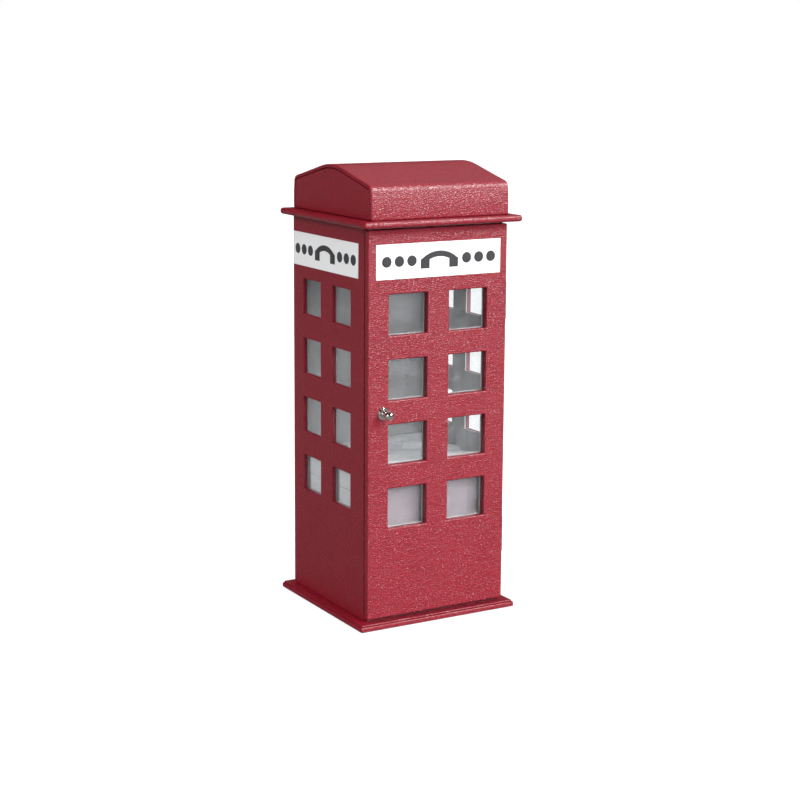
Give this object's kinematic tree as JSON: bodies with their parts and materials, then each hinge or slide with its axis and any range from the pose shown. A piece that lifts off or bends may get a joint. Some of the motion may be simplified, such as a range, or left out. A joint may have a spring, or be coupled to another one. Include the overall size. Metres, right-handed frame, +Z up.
{
  "type": "telephone booth jewellery box",
  "caption": "Table-top jewellery box shaped like a telephone booth, with a glazed hinged door, necklace hooks and a lift-out tray of padded ring rolls.",
  "frame": {"origin": "centre of the felt underside, on the surface the box stands on", "axes": "+Z up, -Y out of the door, +X towards the hinges"},
  "size_m": [0.115, 0.1193, 0.2921],
  "materials": {
    "red_leatherette": "red pebbled faux leather wrapped over board",
    "grey_lining": "light grey suede lining on card",
    "grey_pad": "light grey suede over foam",
    "ribbon": "satin ribbon",
    "clear_pane": "clear acrylic sheet",
    "white_sign": "white printed sheet, matt",
    "sign_ink": "dark grey print",
    "nickel": "polished nickel plate",
    "magnet": "dark ceramic magnet",
    "white_plastic": "white moulded plastic",
    "fibreboard": "plain fibreboard",
    "base_felt": "black felt"
  },
  "bodies": {
    "cabinet": {"base_felt": "base_felt", "base_board": "red_leatherette", "base_top_board": "red_leatherette", "left_wall": "red_leatherette", "right_wall": "red_leatherette", "back_wall": "red_leatherette", "left_pane": "clear_pane", "right_pane": "clear_pane", "left_lining": "grey_lining", "right_lining": "grey_lining", "back_lining": "grey_lining", "floor_lining": "grey_lining", "ceiling_lining": "grey_lining", "well_front": "grey_lining", "well_sides": "grey_lining", "cornice_board": "red_leatherette", "roof_shell": "red_leatherette", "left_gable": "red_leatherette", "right_gable": "red_leatherette", "roof_formers": "fibreboard", "left_sign": "white_sign", "right_sign": "white_sign", "left_sign_print": "sign_ink", "right_sign_print": "sign_ink", "hook_rail": "grey_lining", "necklace_hooks": "nickel", "hook_rail_screws": "nickel", "catch_body": "white_plastic", "catch_magnet": "magnet", "upper_wall_leaf": "nickel", "lower_wall_leaf": "nickel", "upper_hinge_pin": "nickel", "lower_hinge_pin": "nickel", "wall_leaf_screws": "nickel"},
    "door": {"door_board": "red_leatherette", "door_pane": "clear_pane", "door_lining": "grey_lining", "front_sign": "white_sign", "front_sign_print": "sign_ink", "knob_rose": "nickel", "door_knob": "nickel", "knob_screw": "nickel", "strike_plate": "nickel", "upper_door_leaf": "nickel", "lower_door_leaf": "nickel", "door_leaf_screws": "nickel"},
    "tray": {"ring_tray": "grey_lining", "ring_roll_1": "grey_pad", "ring_roll_2": "grey_pad", "ring_roll_3": "grey_pad", "ring_roll_4": "grey_pad", "tray_ribbon": "ribbon"}
  },
  "joints": [
    {"name": "door_hinge", "type": "hinge", "parent": "cabinet", "child": "door", "pos_m": [0.05215, -0.0466, 0.1275], "axis": [0, 0, 1], "range_deg": [0, 170]},
    {"name": "tray_lift", "type": "slide", "parent": "cabinet", "child": "tray", "axis": [0, 0, 1], "range_m": [0, 0.02]}
  ]
}
